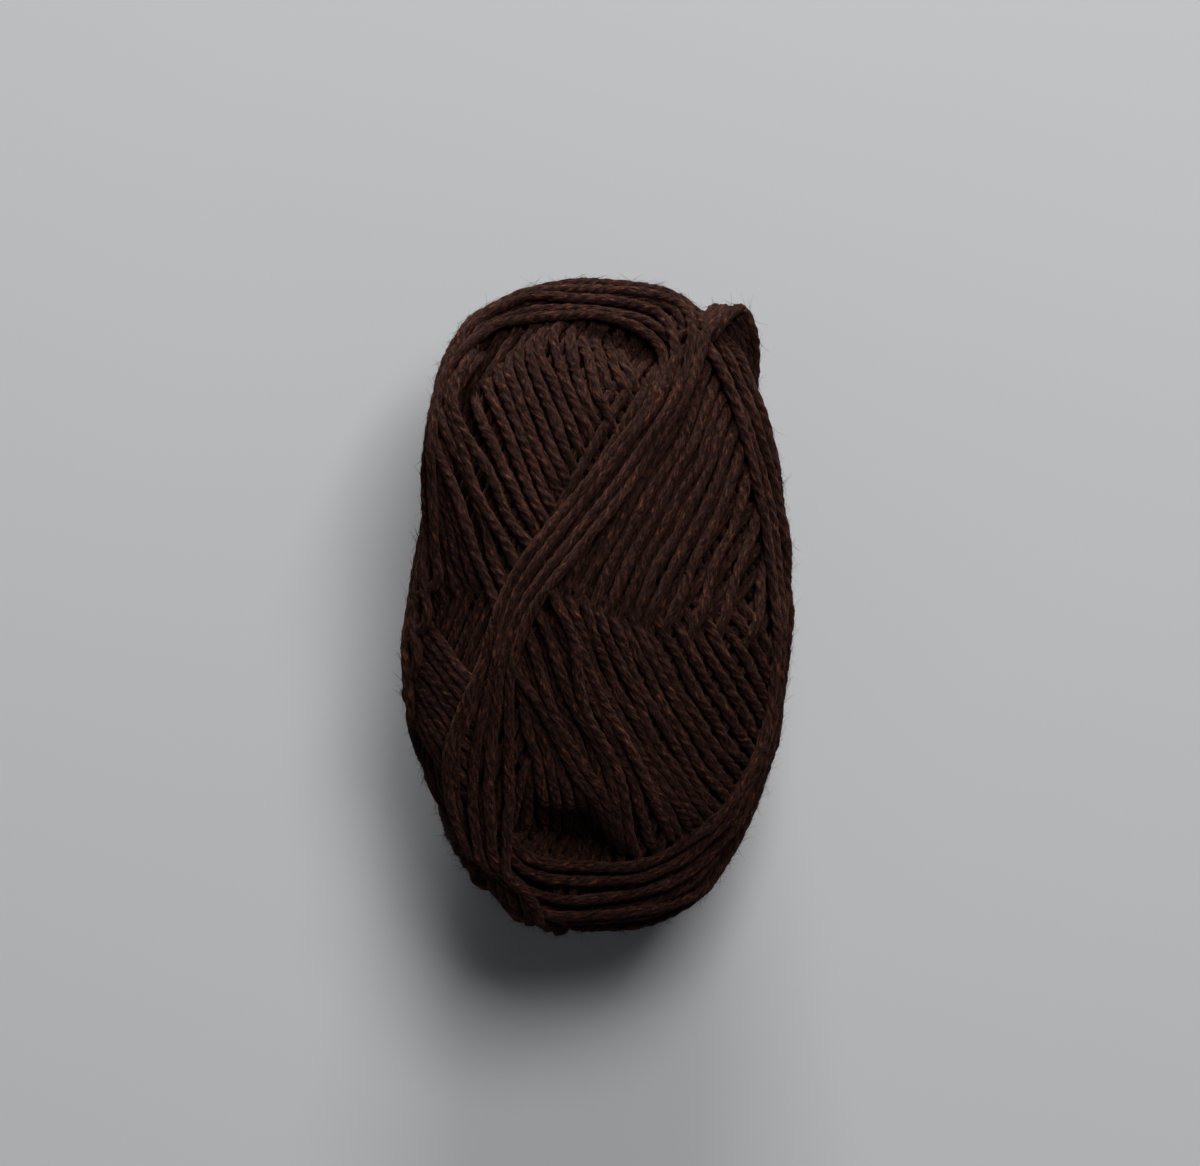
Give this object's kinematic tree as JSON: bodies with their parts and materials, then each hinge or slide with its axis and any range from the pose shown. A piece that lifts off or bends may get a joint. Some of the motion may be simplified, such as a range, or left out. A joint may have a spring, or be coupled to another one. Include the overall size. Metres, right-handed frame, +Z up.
{
  "type": "wool yarn skein",
  "caption": "Pull skein of thick brown wool yarn lying on its side: an oval wound body of crossing bands of turns, with a mouth near each end.",
  "frame": {"origin": "centre of the skein's plan on the surface that it lies on", "axes": "+Y along the skein's length, towards the end that is at the top of the picture; +X across it, to the picture's right; +Z up"},
  "size_m": [0.0768, 0.131, 0.0616],
  "materials": {
    "wool": "matt heathered dark brown wool, softly plied, with a fuzzy halo of loose fibres"
  },
  "bodies": {
    "root": {"skein": "wool"}
  },
  "joints": []
}
